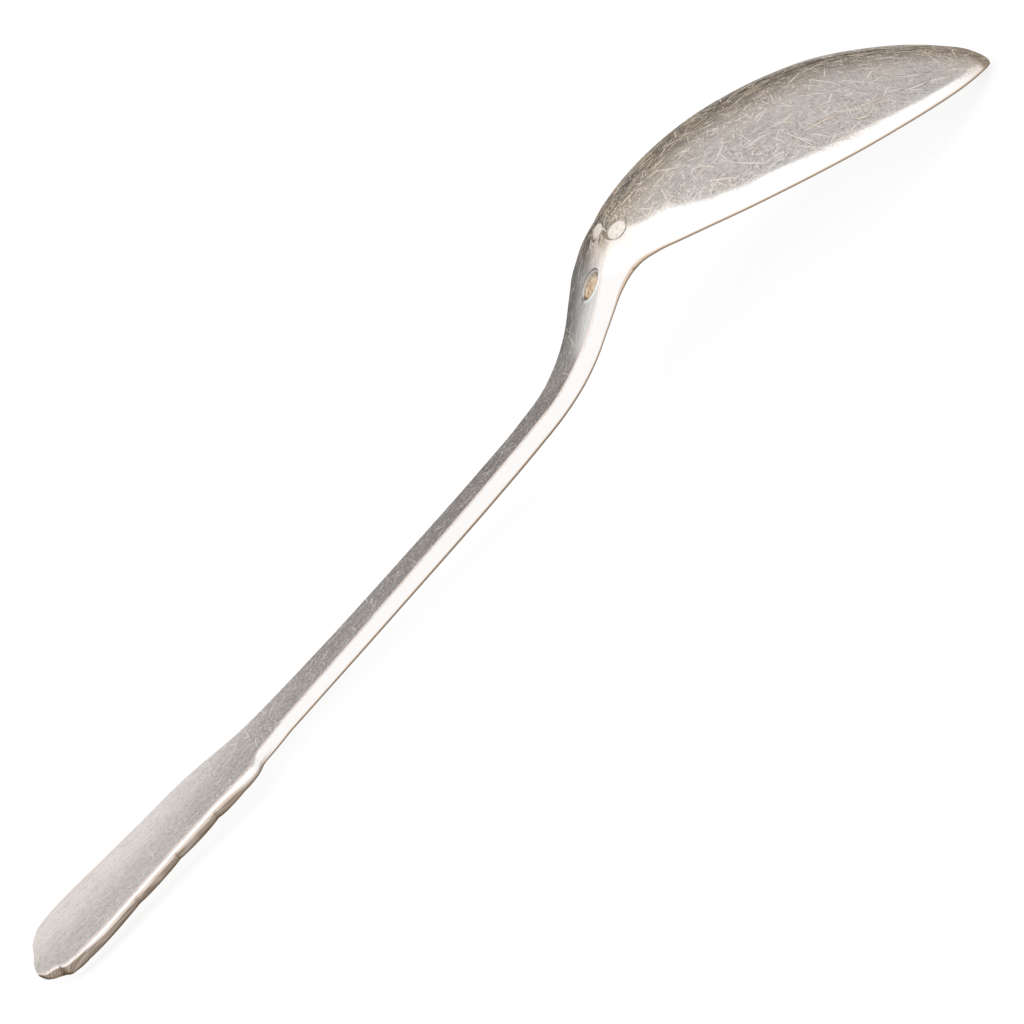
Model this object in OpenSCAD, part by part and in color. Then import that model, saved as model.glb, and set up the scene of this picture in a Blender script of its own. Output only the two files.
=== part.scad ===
// A grapefruit spoon of forged silver, lying face down: the hollow of the bowl is below and the back
// is above. X runs from the handle's end to the bowl's tip, Y across, and Z up from the table. The
// origin is on the table under the middle of the spoon's length. The spoon is one forging. Its
// regions are separate solids that meet face to face on cross sections, and every section comes from
// the same functions of x.

/* [Bowl] */
// Length of the bowl, from its heel to its tip
bowl_length = 48; // [44:0.5:56]
// Greatest width of the bowl over its rim
bowl_width = 26.2; // [22:0.1:30]
// Height of the top of the bowl's back above the table
crown_height = 20.1; // [19.5:0.1:23]
// Height of the rim above the table at the heel, where it is highest
rim_height = 14.9; // [13:0.1:15.5]
// Thickness of the bowl's wall
bowl_wall = 0.9; // [0.6:0.05:1.5]
// Width of the rim's flat edge
rim_width = 0.9; // [0.5:0.05:1.6]
// Length of the solid point between the hollow and the tip
tip_length = 1.6; // [1:0.1:3]
// Width of the blunt nose at the tip
nose_width = 0.7; // [0.4:0.05:1.5]
// Thickness of the blunt nose at the tip
nose_thickness = 0.9; // [0.5:0.05:1.5]
// Length over which the hollow deepens at the heel
heel_run = 11; // [7:0.5:16]

/* [Neck] */
// Length of the neck, from the stem to the bowl's heel
neck_length = 15; // [12:0.5:20]
// Width of the neck under the bowl
neck_width = 9.6; // [7:0.1:12]
// Height of the back above the table where the neck meets the bowl
heel_height = 18.2; // [17:0.1:19]
// Height of the front above the table where the neck meets the bowl
heel_front_height = 13.7; // [12.5:0.1:14.5]
// Height of the back above the table where the stem meets the neck
neck_start_height = 8.4; // [7:0.1:10]
// Length at the neck's end in which its flat back starts to round into the bowl
neck_fade = 4.5; // [2:0.1:8]
// Length at the bowl's heel in which that rounding ends
heel_fade = 2.4; // [1:0.1:5]

/* [Stem] */
// Length of the stem, from the terminal to the neck
stem_length = 50; // [40:1:70]
// Width of the stem where it is slimmest, near the neck
stem_width = 4.2; // [3:0.1:6]
// Thickness of the stem at the neck
stem_thickness = 2.45; // [2:0.05:3.5]
// How far the stem's front is crowned in its middle
front_crown = 0.25; // [0:0.05:0.5]
// Rounding of the stem's and neck's front edges
front_round = 0.4; // [0.1:0.05:0.8]

/* [Terminal] */
// Length of the terminal, the flat end of the handle
terminal_length = 37; // [30:0.5:45]
// Greatest width of the terminal's flat back
terminal_width = 15.1; // [12:0.1:19]
// Width of the handle where the terminal meets the stem
shoulder_width = 7.2; // [6:0.1:9]
// Height of the back above the table where the terminal meets the stem
shoulder_height = 3.8; // [3:0.1:5]
// Height that the flat back would have above the table at the handle's very end
end_height = 2.35; // [2:0.05:2.8]
// Thickness of the terminal
terminal_thickness = 1.8; // [1.2:0.05:2.2]
// Thickness of the handle where the terminal meets the stem
shoulder_thickness = 2.05; // [1.3:0.05:2.4]
// How far the terminal's edge swells out beyond its flat back
edge_swell = 0.35; // [0.1:0.05:0.6]
// Length over which that swell fades out towards the stem
swell_fade = 4.4; // [2:0.1:8]
// How far the largest lobe of the front's margin stands out, next to the stem
lobe_height = 1.1; // [0:0.05:1.4]
// Length over which that lobe fades out towards the stem
lobe_fade = 5; // [2:0.1:8]
// Length of the end that turns down towards the front
turn_length = 3.6; // [2:0.1:6]
// Thickness left at the end of the point
point_thickness = 0.6; // [0.4:0.05:1]
// Length of the small point at the handle's end
point_length = 1.6; // [1:0.1:3]
// Width of the small point at its root
point_width = 8.4; // [6:0.1:10]
// Depth of the step on each side of the point
point_step = 0.4; // [0.1:0.05:0.8]
// Width of the raised border round the front's sunk panel
border_width = 1.5; // [1:0.1:2.5]
// Depth of the front's sunk panel
panel_depth = 0.3; // [0.1:0.05:0.6]
// Length left unsunk between that panel and the stem
panel_margin = 7.4; // [5:0.1:10]

/* [Hidden] */

// How finely the sections are drawn and how closely they follow each other
side_steps = 6;
back_steps = 10;
ring_steps = 2 * side_steps + back_steps;
point_rings = 5;
turn_rings = 7;
terminal_rings = 34;
stem_rings = 14;
neck_rings = 14;
heel_rings = 12;
tip_rings = 28;
panel_rings = 16;

// Least depth at which a round section is still drawn
small_depth = bowl_wall / 400;
// Length over which the point steps out to the terminal's width
step_run = point_step / 20;
// Height above the front at which the rounding of its edge starts
front_lift = front_round / 3;

overall_length = terminal_length + stem_length + neck_length + bowl_length;
end_x = -overall_length / 2;
shoulder_x = end_x + terminal_length;
neck_x = shoulder_x + stem_length;
heel_x = neck_x + neck_length;
tip_x = heel_x + bowl_length;
point_x = end_x + point_length;
turn_x = end_x + turn_length;
swell_end_x = shoulder_x - swell_fade;
lobe_fade_x = shoulder_x - lobe_fade;
fade_start_x = heel_x - neck_fade;
fade_end_x = heel_x + heel_fade;
hollow_x = heel_x + rim_width;

// Where the flat back of the terminal is held level: shares of the terminal's length from the end
flat_back_shares = [0, 0.5, 0.8, 1];
// Where the terminal's even thickness ends: share of its length from the end
even_share = 0.5;
// Where the stem's front leads into the neck's: shares of the stem's length from the shoulder
front_lead_shares = [0.76, 0.88];
// Part of the handle's front that is crowned, as a share of its flat width
crown_share = 0.9;
// Least width of the hollow's section, as a share of the bowl's
hollow_least_share = 0.2;
// Part of the bowl from the heel in which its sections are evenly spaced
even_bowl_share = 0.2;
// Height of the stem's back: share of its length from the shoulder, share of its whole rise
stem_rise_shares = [[0.25, 0.17], [0.5, 0.39], [0.75, 0.63], [0.9, 0.81]];
// Height of the neck's back: share of its length, share of its whole rise
neck_rise_shares = [[0.2, 0.115], [0.4, 0.275], [0.6, 0.495], [0.8, 0.745]];
// Height of the neck's front: share of its length, share of its whole rise
neck_front_shares = [[0.2, 0.12], [0.4, 0.31], [0.6, 0.565], [0.8, 0.797]];
// Height of the bowl's back: share of its length from the heel, share of the crown's height
bowl_back_shares = [[0.03, 0.933], [0.07, 0.954], [0.13, 0.978], [0.2, 0.996], [0.27, 0.998], [0.375, 0.975],
    [0.48, 0.92], [0.585, 0.838], [0.69, 0.727], [0.79, 0.574], [0.875, 0.413], [0.94, 0.257], [0.98, 0.139]];
// Height of the bowl's rim: share of its length from the heel, share of the rim's height at the heel
rim_shares = [[0.03, 0.976], [0.07, 1], [0.13, 0.97], [0.2, 0.912], [0.27, 0.845], [0.375, 0.74],
    [0.48, 0.63], [0.585, 0.516], [0.69, 0.4], [0.79, 0.281], [0.875, 0.178], [0.94, 0.1], [0.98, 0.045]];
// Width of the bowl: share of its length from the heel, share of its greatest width
bowl_width_shares = [[0.03, 0.55], [0.07, 0.71], [0.13, 0.84], [0.2, 0.92], [0.27, 0.97], [0.375, 1],
    [0.48, 0.99], [0.585, 0.939], [0.69, 0.84], [0.79, 0.695], [0.875, 0.527], [0.94, 0.35], [0.98, 0.186]];
// Width of the neck at its bowl end, as a share of the bowl's width
heel_width_share = 0.42;
// Width of the neck: share of its length, share of its widening from the stem
neck_width_shares = [[0, 0.13], [0.2, 0.27], [0.4, 0.53], [0.6, 0.86], [0.73, 0.98], [0.87, 1.02]];
// Width of the stem: share of its length from the shoulder, share of its narrowing still to come
stem_width_shares = [[0.04, 0.9], [0.16, 0.67], [0.28, 0.48], [0.4, 0.33], [0.52, 0.23], [0.64, 0.12],
    [0.78, 0.05], [0.88, 0]];
// Width of the terminal: share of its length from the end, share of its greatest width
terminal_width_shares = [[0.054, 0.68], [0.08, 0.84], [0.11, 0.925], [0.14, 0.97], [0.18, 0.995], [0.22, 1],
    [0.26, 0.992], [0.32, 0.962], [0.4, 0.925], [0.48, 0.89], [0.56, 0.862], [0.65, 0.84], [0.73, 0.8],
    [0.8, 0.72], [0.87, 0.61], [0.93, 0.53], [0.965, 0.495]];
// Width of the small point: share of its length from its end, share of its width at its root
point_shares = [[0, 0.12], [0.12, 0.3], [0.4, 0.58], [0.7, 0.8], [1, 1]];
// How far the end has turned down: share of the turned length from the end, share of the whole drop
turn_shares = [[0, 1], [0.2, 0.72], [0.4, 0.43], [0.6, 0.2], [0.8, 0.06], [1, 0]];
// Where the lobes of the front's margin meet: shares of the terminal's length from the end
lobe_end_shares = [0.05, 0.37, 0.55, 0.72, 1.02];
// How far each of those lobes stands out, as a share of the largest
lobe_size_shares = [0.35, 0.4, 0.4, 1];
// Thickness of the handle: share of the stem's length from the shoulder, share of its growth to the neck
stem_thickness_shares = [[0.16, 0.14], [0.4, 0.5], [0.64, 0.84], [0.88, 1]];

// Place of x among a table's knots: the last knot at or before it
function knot(table, x, i = 0) = i >= len(table) - 2 || x < table[i + 1][0] ? i : knot(table, x, i + 1);
// Slope of a straight run between two knots
function run(a, b) = (b[1] - a[1]) / (b[0] - a[0]);
// Slope of the smooth curve at a knot, from the runs on both sides of it
function slope(t, i) =
    i == 0 ? run(t[0], t[1])
    : i == len(t) - 1 ? run(t[i - 1], t[i])
    : (run(t[i - 1], t[i]) * (t[i + 1][0] - t[i][0]) + run(t[i], t[i + 1]) * (t[i][0] - t[i - 1][0]))
        / (t[i + 1][0] - t[i - 1][0]);
// Smooth curve through a table of knots, taken at x
function curve(t, x) =
    let (i = knot(t, x), w = t[i + 1][0] - t[i][0], u = min(1, max(0, (x - t[i][0]) / w)), v = 1 - u)
    t[i][1] * v * v * (1 + 2 * u) + t[i + 1][1] * u * u * (3 - 2 * u)
        + w * u * v * (slope(t, i) * v - slope(t, i + 1) * u);
// A table of shares laid out as lengths, from x and low over length and height
function laid(shares, x, length, low, height) = [for (s = shares) [x + s[0] * length, low + s[1] * height]];
// Smooth step from 0 to 1 between two places
function step(a, b, x) = let (u = min(1, max(0, (x - a) / (b - a)))) u * u * (3 - 2 * u);
function mix(a, b, u) = a + (b - a) * u;

neck_half = neck_width / 2;
stem_half = stem_width / 2;
shoulder_half = shoulder_width / 2;

stem_rise = neck_start_height - shoulder_height;
neck_rise = heel_height - neck_start_height;
back_table = concat(
    [for (u = flat_back_shares) [mix(end_x, shoulder_x, u), mix(end_height, shoulder_height, u)]],
    laid(stem_rise_shares, shoulder_x, stem_length, shoulder_height, stem_rise),
    [[neck_x, neck_start_height]],
    laid(neck_rise_shares, neck_x, neck_length, neck_start_height, neck_rise),
    [[heel_x, heel_height]],
    laid(bowl_back_shares, heel_x, bowl_length, 0, crown_height),
    [[tip_x, nose_thickness]]);

stem_thickening = stem_thickness - shoulder_thickness;
thickness_table = concat(
    [[end_x, terminal_thickness], [mix(end_x, shoulder_x, even_share), terminal_thickness],
        [shoulder_x, shoulder_thickness]],
    laid(stem_thickness_shares, shoulder_x, stem_length, shoulder_thickness, stem_thickening),
    [[neck_x, stem_thickness]]);

neck_front_start = neck_start_height - stem_thickness;
neck_front_rise = heel_front_height - neck_front_start;
front_table = concat(
    laid(neck_front_shares, neck_x, neck_length, neck_front_start, neck_front_rise),
    [[heel_x, heel_front_height]],
    laid(rim_shares, heel_x, bowl_length, 0, rim_height),
    [[tip_x, 0]]);

half_table = concat(
    [[point_x, point_width / 2 + point_step]],
    laid(terminal_width_shares, end_x, terminal_length, 0, terminal_width / 2),
    [[shoulder_x, shoulder_half]],
    laid(stem_width_shares, shoulder_x, stem_length, stem_half, shoulder_half - stem_half),
    laid(neck_width_shares, neck_x, neck_length, stem_half, neck_half - stem_half),
    [[heel_x, bowl_width * heel_width_share / 2]],
    laid(bowl_width_shares, heel_x, bowl_length, 0, bowl_width / 2),
    [[tip_x, nose_width / 2]]);
point_table = laid(point_shares, end_x, point_length, 0, point_width / 2);

// Heights of the back and the front and half the width of the whole spoon at x
function turned(x) = curve(laid(turn_shares, end_x, turn_length, 0, end_height - point_thickness), x);
function drop(x) = x < turn_x ? turned(x) : 0;
function back_z(x) = curve(back_table, x) - drop(x);
function thinned(x) = max(0, (turn_x - x) / turn_length);
function thick(x) = mix(curve(thickness_table, x), point_thickness, thinned(x));
front_knots = concat([for (u = front_lead_shares) let (x = shoulder_x + u * stem_length)
    [x, back_z(x) - thick(x)]], [[neck_x, neck_front_start]], front_table);
function front_z(x) = x < front_knots[1][0] ? back_z(x) - thick(x) : curve(front_knots, x);
function half(x) = x < point_x ? curve(point_table, x) : curve(half_table, x);

// How far the lobes swell at x: each lobe is half a wave
function lobe_at(u, i = 0) =
    i >= len(lobe_end_shares) - 1 || u < lobe_end_shares[0] ? 0
    : u <= lobe_end_shares[i + 1]
        ? lobe_size_shares[i]
            * sqrt(sin(180 * (u - lobe_end_shares[i]) / (lobe_end_shares[i + 1] - lobe_end_shares[i])))
    : lobe_at(u, i + 1);
function lobe(x) =
    lobe_height * lobe_at((x - end_x) / terminal_length) * (1 - step(lobe_fade_x, shoulder_x, x));
function swell(x) = edge_swell * (1 - step(swell_end_x, shoulder_x, x)) * step(end_x, turn_x, x);

// Section of the handle: the sides rise from the front to a crisp edge round a flat back
function side_y(x, v) =
    half(x) + swell(x) * sin(180 * v) + lobe(x) * (1 - step(0, 1, v)) - front_round * pow(1 - v, 3);
function handle_outer(x) = [
    for (k = [0:ring_steps])
        let (
            low = k <= side_steps,
            high = k >= side_steps + back_steps,
            v = low ? k / side_steps : high ? (ring_steps - k) / side_steps : 1,
            y = low ? -side_y(x, v)
                : high ? side_y(x, v)
                : half(x) * (2 * (k - side_steps) / back_steps - 1)
        ) [x, y, mix(front_z(x) + front_lift, back_z(x), v)]];
function handle_inner(x) =
    let (
        h = (half(x) + lobe(x) - front_round) * crown_share,
        crown = front_crown * step(shoulder_x, shoulder_x + stem_width, x) * (1 - step(neck_x, heel_x, x))
    )
    [for (k = [0:ring_steps])
        let (u = 2 * k / ring_steps - 1) [x, h * u, front_z(x) - crown * (1 - u * u)]];

// Section of the bowl: a round arc for the back and one for the hollow, with the rim's flat between them
function arc(x, h, base, depth) =
    let (a = 2 * atan(max(depth, small_depth) / h), r = h / sin(a))
    [for (k = [0:ring_steps])
        let (b = a * (2 * k / ring_steps - 1))
            [x, r * sin(b), base + max(depth, small_depth) - r + r * cos(b)]];
function bowl_outer(x) = arc(x, half(x), front_z(x), back_z(x) - front_z(x));
// The hollow follows the back, drawn in towards the heel so that the tip stays solid
function inner_x(x) = heel_x + (x - heel_x) * bowl_length / (bowl_length - tip_length);
function heel_share(x) = let (q = min(1, max(0, (x - hollow_x) / heel_run))) q * (2 - q);
function inner_half(x) =
    let (full = inner_x(x) < tip_x ? half(inner_x(x)) * (1 - 2 * rim_width / bowl_width) : 0)
    max(half(x) * hollow_least_share, full * sqrt(heel_share(x)));
function inner_depth(x) =
    inner_x(x) < tip_x ? (back_z(inner_x(x)) - bowl_wall - front_z(x)) * heel_share(x) : 0;
function bowl_inner(x) = arc(x, inner_half(x), front_z(x), inner_depth(x));

// Share of the bowl's section in the section at x: the neck's flat back fades into the bowl
function bowl_share(x) = step(fade_start_x, fade_end_x, x);
function section(x) =
    let (
        u = bowl_share(x),
        outer = u <= 0 ? handle_outer(x)
            : u >= 1 ? bowl_outer(x)
            : mix(handle_outer(x), bowl_outer(x), u),
        inner = u <= 0 ? handle_inner(x)
            : u >= 1 ? bowl_inner(x)
            : mix(handle_inner(x), bowl_inner(x), u)
    )
    concat(outer, [for (k = [ring_steps:-1:0]) inner[k]]);

// A solid through the sections at the given places, closed by a flat face at each end
module skin(places) {
    count = 2 * (ring_steps + 1);
    last = count * (len(places) - 1);
    polyhedron(
        points = [for (x = places) each section(x)],
        faces = concat(
            [for (i = [0:len(places) - 2], k = [0:count - 1])
                each let (a = i * count + k, b = i * count + (k + 1) % count, c = a + count, d = b + count)
                    [[a, b, d], [a, d, c]]],
            [for (k = [0:ring_steps - 1])
                each let (a = k, b = k + 1, c = count - 1 - k, d = c - 1)
                    [[a, c, d], [a, d, b]]],
            [for (k = [0:ring_steps - 1])
                each let (a = last + k, b = a + 1, c = last + count - 1 - k, d = c - 1)
                    [[a, d, c], [a, b, d]]]),
        convexity = 6);
}

function places(a, b, n) = [for (i = [0:n]) mix(a, b, i / n)];
// Places that close up towards b, for a rounded end
function closing(a, b, n) = [for (i = [0:n]) mix(a, b, sin(90 * i / n))];
function after(a, list) = [for (x = list) if (x > a) x];

module bowl() {
    even_x = mix(heel_x, tip_x, even_bowl_share);
    color("gainsboro") skin(concat(places(heel_x, even_x, heel_rings),
        after(even_x, closing(even_x, tip_x, tip_rings))));
}

module neck() {
    color("silver") skin(places(neck_x, heel_x, neck_rings));
}

module stem() {
    color("lightgray") skin(places(shoulder_x, neck_x, stem_rings));
}

// Outline of the sunk panel on the terminal's front
panel_start = turn_x + border_width;
panel_end = shoulder_x - panel_margin;
function panel_half(x) = half(x) - front_round - border_width;
panel_places = places(panel_start, panel_end, panel_rings);
pitch = atan2(shoulder_height - end_height, terminal_length);
module panel_cut() {
    outline = concat([for (x = panel_places) [x - end_x, -panel_half(x)]],
        [for (i = [len(panel_places) - 1:-1:0]) [panel_places[i] - end_x, panel_half(panel_places[i])]]);
    translate([end_x, 0, end_height - terminal_thickness + panel_depth])
        rotate([0, -pitch, 0])
            translate([0, 0, -terminal_thickness])
                linear_extrude(terminal_thickness) polygon(outline);
}

module terminal() {
    color("whitesmoke")
    difference() {
        skin(concat(places(end_x, point_x - step_run, point_rings),
            places(point_x, turn_x, turn_rings),
            after(turn_x, places(turn_x, shoulder_x, terminal_rings))));
        panel_cut();
    }
}

bowl();
neck();
stem();
terminal();
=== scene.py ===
"""A worn silver grapefruit spoon, lying face down on a pale table.

The spoon is one smooth forging in four regions: terminal, stem, neck and bowl. Every region is a
stretch of the same form, which gives a closed section at any place x along the spoon.
"""

import math
from functools import reduce

import bpy
import numpy as np
from bpy.props import FloatProperty, FloatVectorProperty, IntProperty, PointerProperty
from bpy.types import Operator, Panel, PropertyGroup
from mathutils import Matrix, Vector


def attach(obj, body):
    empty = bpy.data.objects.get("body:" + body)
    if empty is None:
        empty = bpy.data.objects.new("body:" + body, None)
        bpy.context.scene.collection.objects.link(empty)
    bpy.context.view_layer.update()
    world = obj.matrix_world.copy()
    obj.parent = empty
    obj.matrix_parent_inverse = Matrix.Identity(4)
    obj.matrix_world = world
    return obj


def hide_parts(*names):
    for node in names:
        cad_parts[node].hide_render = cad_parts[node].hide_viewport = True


bl_info = {
    "name": "Grapefruit spoon",
    "version": (1, 0, 0),
    "blender": (4, 5, 0),
    "location": "3D View > Sidebar > Spoon",
    "description": "Builds a worn silver grapefruit spoon around its packed frame",
    "category": "Add Mesh",
}

MM = 0.001

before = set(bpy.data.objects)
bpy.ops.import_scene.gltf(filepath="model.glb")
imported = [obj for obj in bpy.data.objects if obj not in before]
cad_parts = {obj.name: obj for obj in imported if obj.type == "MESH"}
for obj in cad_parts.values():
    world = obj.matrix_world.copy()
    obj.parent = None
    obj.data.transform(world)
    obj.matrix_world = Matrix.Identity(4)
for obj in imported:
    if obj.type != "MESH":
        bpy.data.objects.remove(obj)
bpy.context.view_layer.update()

# Shares of the spoon's own lengths and heights that its outlines pass through
FLAT_BACK_SHARES = (0, 0.5, 0.8, 1)
EVEN_SHARE = 0.5
FRONT_LEAD_SHARES = (0.76, 0.88)
CROWN_SHARE = 0.9
HOLLOW_LEAST_SHARE = 0.2
FLATTEST_ARC_SHARE = 1 / 400
HEEL_WIDTH_SHARE = 0.42
SIDE_SHARE = 3 / 11
STEM_RISE_SHARES = ((0.25, 0.17), (0.5, 0.39), (0.75, 0.63), (0.9, 0.81))
NECK_RISE_SHARES = ((0.2, 0.115), (0.4, 0.275), (0.6, 0.495), (0.8, 0.745))
NECK_FRONT_SHARES = ((0.2, 0.12), (0.4, 0.31), (0.6, 0.565), (0.8, 0.797))
BOWL_BACK_SHARES = (
    (0.03, 0.933), (0.07, 0.954), (0.13, 0.978), (0.2, 0.996), (0.27, 0.998), (0.375, 0.975),
    (0.48, 0.92), (0.585, 0.838), (0.69, 0.727), (0.79, 0.574), (0.875, 0.413), (0.94, 0.257),
    (0.98, 0.139),
)
RIM_SHARES = (
    (0.03, 0.976), (0.07, 1), (0.13, 0.97), (0.2, 0.912), (0.27, 0.845), (0.375, 0.74),
    (0.48, 0.63), (0.585, 0.516), (0.69, 0.4), (0.79, 0.281), (0.875, 0.178), (0.94, 0.1),
    (0.98, 0.045),
)
BOWL_WIDTH_SHARES = (
    (0.03, 0.55), (0.07, 0.71), (0.13, 0.84), (0.2, 0.92), (0.27, 0.97), (0.375, 1),
    (0.48, 0.99), (0.585, 0.939), (0.69, 0.84), (0.79, 0.695), (0.875, 0.527), (0.94, 0.35),
    (0.98, 0.186),
)
NECK_WIDTH_SHARES = ((0, 0.13), (0.2, 0.27), (0.4, 0.53), (0.6, 0.86), (0.73, 0.98), (0.87, 1.02))
STEM_WIDTH_SHARES = (
    (0.04, 0.9), (0.16, 0.67), (0.28, 0.48), (0.4, 0.33), (0.52, 0.23), (0.64, 0.12),
    (0.78, 0.05), (0.88, 0),
)
TERMINAL_WIDTH_SHARES = (
    (0.054, 0.68), (0.08, 0.84), (0.11, 0.925), (0.14, 0.97), (0.18, 0.995), (0.22, 1),
    (0.26, 0.992), (0.32, 0.962), (0.4, 0.925), (0.48, 0.89), (0.56, 0.862), (0.65, 0.84),
    (0.73, 0.8), (0.8, 0.72), (0.87, 0.61), (0.93, 0.53), (0.965, 0.495),
)
NEAR_END_SHARES = (
    (0, 0.4), (0.02, 0.43), (0.052, 0.484), (0.096, 0.556), (0.158, 0.61), (0.25, 0.642),
    (0.337, 0.669), (0.388, 0.7), (0.442, 0.748), (0.485, 0.82), (0.535, 0.877), (0.658, 0.93),
    (0.82, 0.972), (1, 0.985),
)
FAR_END_SHARES = (
    (0, 0.32), (0.02, 0.27), (0.052, 0.16), (0.096, 0.027), (0.158, -0.1), (0.21, -0.205),
    (0.242, -0.262), (0.276, -0.364), (0.317, -0.477), (0.379, -0.59), (0.454, -0.678),
    (0.53, -0.763), (0.615, -0.848), (0.7, -0.897), (0.81, -0.934), (1, -0.975),
)
EDGE_RISE_SHARES = (
    (0, 0.73), (0.08, 0.55), (0.23, 0.46), (0.4, 0.34), (0.55, 0.26), (0.72, 0.24), (1, 0.26),
)
KEEL_SHARES = (
    (0, 0.67), (0.08, 0.43), (0.23, 0.19), (0.33, 0.045), (0.44, 0), (0.61, 0.06), (1, 0.26),
)
SHOULDER_SHARES = (
    (0.72, 0), (0.77, 0.31), (0.811, 0.6), (0.851, 0.94), (0.88, 1), (0.9, 0.92), (0.932, 0.4),
    (0.973, 0.3), (1.01, 0.2), (1.06, 0),
)
LOBE_END_SHARES = (0, 0.37, 0.55, 0.72, 1.02)
LOBE_SIZE_SHARES = (0.35, 0.4, 0.4, 1)
LOBE_FOOT_SHARE = 0.25
LOBE_CREASE_SHARE = 0.004
STEM_THICKNESS_SHARES = ((0.16, 0.14), (0.4, 0.5), (0.64, 0.84), (0.88, 1))

# The creases in the handle's edge, in metres, and how strong those between its lobes are
END_CREASE_PLACE = 2.15 * MM
END_CREASE_WIDTH = 0.14 * MM
LOBE_CREASE = 0.6

# The width of the sunk panel's sloping edge, each way, in metres
PANEL_EDGE = 0.2 * MM

# A struck oval's wall, in shares of its half size, and its lip's height as a share of its depth
OVAL_WALL = (0.82, 0.98)
OVAL_LIP_SHARE = 0.22

# The table's size and how far it lies below the spoon, in metres
TABLE_SIZE = 8
TABLE_DROP = 0.02 * MM

# Scattered scratches: cell, half length and half width in millimetres, aim and spread in
# degrees, bow, stretch along the spoon, and a shift that keeps the patterns apart
FINE_SCRATCHES = (
    (0.8, 0.6, 0.06, 20, 180, 1.0, 1, 0.11),
    (1.2, 0.9, 0.07, -30, 180, 1.6, 1, 0.23),
)
MIDDLING_SCRATCHES = (
    (2.0, 1.4, 0.10, 10, 110, 1.6, 1, 0.37),
    (3.4, 2.4, 0.11, -20, 150, 1.8, 1, 0.41),
)
LENGTHWISE_SCRATCHES = (
    (0.7, 0.5, 0.06, 0, 14, 1.0, 4, 0.53),
    (1.2, 0.9, 0.07, 0, 24, 1.5, 3, 0.61),
)

# How far the finish's relief stands out, in metres, and how the metal dims at a grazing angle
RELIEF_HEIGHT = 0.03 * MM
GRAZING_TINT = (0.25, 0.23, 0.21, 1.0)

# The photograph's viewpoint: angles in degrees, lengths in metres
VIEW_AZIMUTH = -6
VIEW_ELEVATION = 21
VIEW_ROLL = 42.01
VIEW_DISTANCE = 0.75
VIEW_AIM = Vector((-0.000445, 0, 0.001237))
VIEW_LENS = 233.2

# The white room: its light, and the elevation, azimuth, radius and softness of its dim panels
WHITE_LIGHT = 1.13
DIM_LIGHT = 0.29
DIM_RISE = 0.30
DIM_CENTRE = (3, 78)
PANELS = ((45.5, 7, 43.5, 1), (8, 75, 36, 9), (45, 65, 38, 5), (5, 45, 34, 2))
TABLE_COLOUR = 0.3
TABLE_GLOW = 0.78


def length(name, description, default):
    """A length in millimetres, shown in Blender's own length unit."""
    return FloatProperty(
        name=name, description=description, default=default * MM, min=0, unit="LENGTH", precision=5
    )


def colour(name, description, default):
    return FloatVectorProperty(
        name=name, description=description, default=default, min=0, max=1, size=3, subtype="COLOR"
    )


def share(name, description, default):
    return FloatProperty(
        name=name, description=description, default=default, min=0, max=1, subtype="FACTOR"
    )


def points(name, description, default, least):
    return IntProperty(name=name, description=description, default=default, min=least)


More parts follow.
